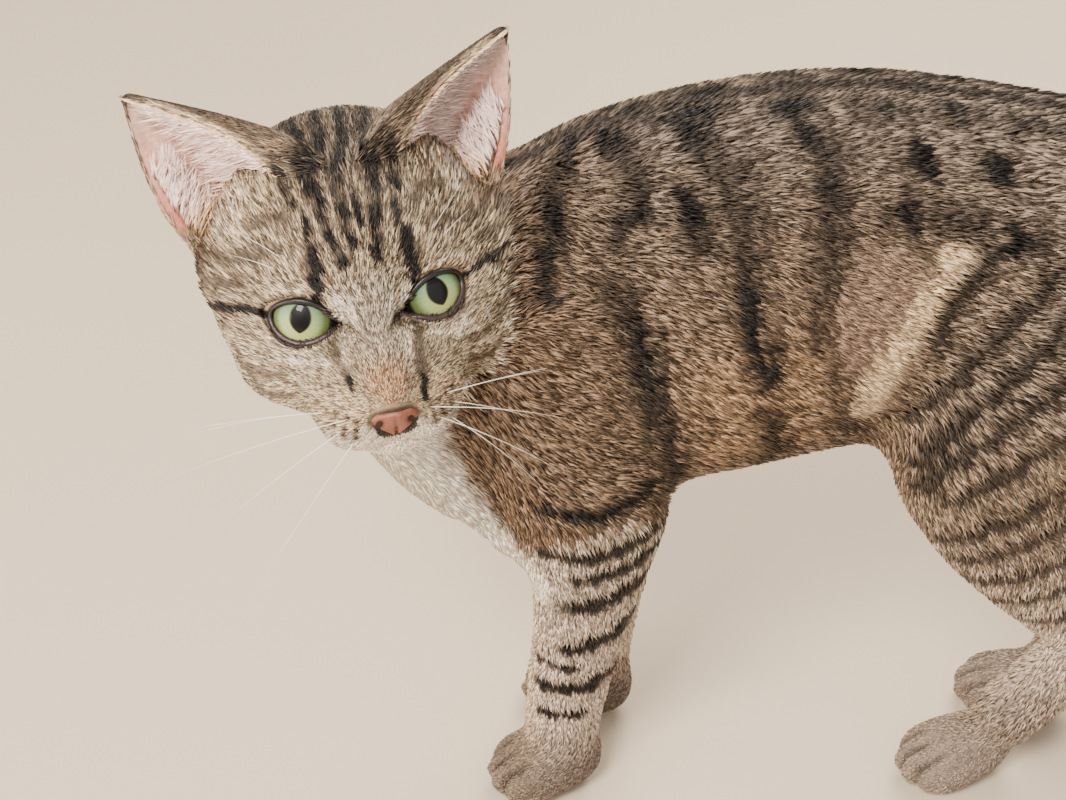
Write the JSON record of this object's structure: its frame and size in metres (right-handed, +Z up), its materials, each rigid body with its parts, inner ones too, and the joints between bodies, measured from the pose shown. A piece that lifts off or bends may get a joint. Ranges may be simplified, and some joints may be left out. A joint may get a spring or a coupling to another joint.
{
  "type": "cat",
  "caption": "Standing young short-haired tabby cat, head turned to its left, as a still life-size model that rests on its paws.",
  "frame": {"origin": "on the floor, under the middle of the cat's bounding box", "axes": "+Z up, +X to the cat's left, -Y towards the front of the cat"},
  "size_m": [0.13, 0.5038, 0.2664],
  "materials": {
    "coat": "short dense ticked fur with dark tabby stripes, matte with a slight sheen along the hair",
    "ear_coat": "thin short fur over pink skin, matte",
    "eye": "wet clear cornea over a pale green iris, glossy",
    "skin": "bare pink-brown leather of the nose and the paw pads, satin",
    "whisker": "stiff white hair, satin"
  },
  "bodies": {
    "root": {"head": "coat", "neck": "coat", "trunk": "coat", "tail": "coat", "foreleg_left": "coat", "foreleg_right": "coat", "hindleg_left": "coat", "hindleg_right": "coat", "ear_left": "ear_coat", "ear_right": "ear_coat", "eye_left": "eye", "eye_right": "eye"}
  },
  "joints": []
}
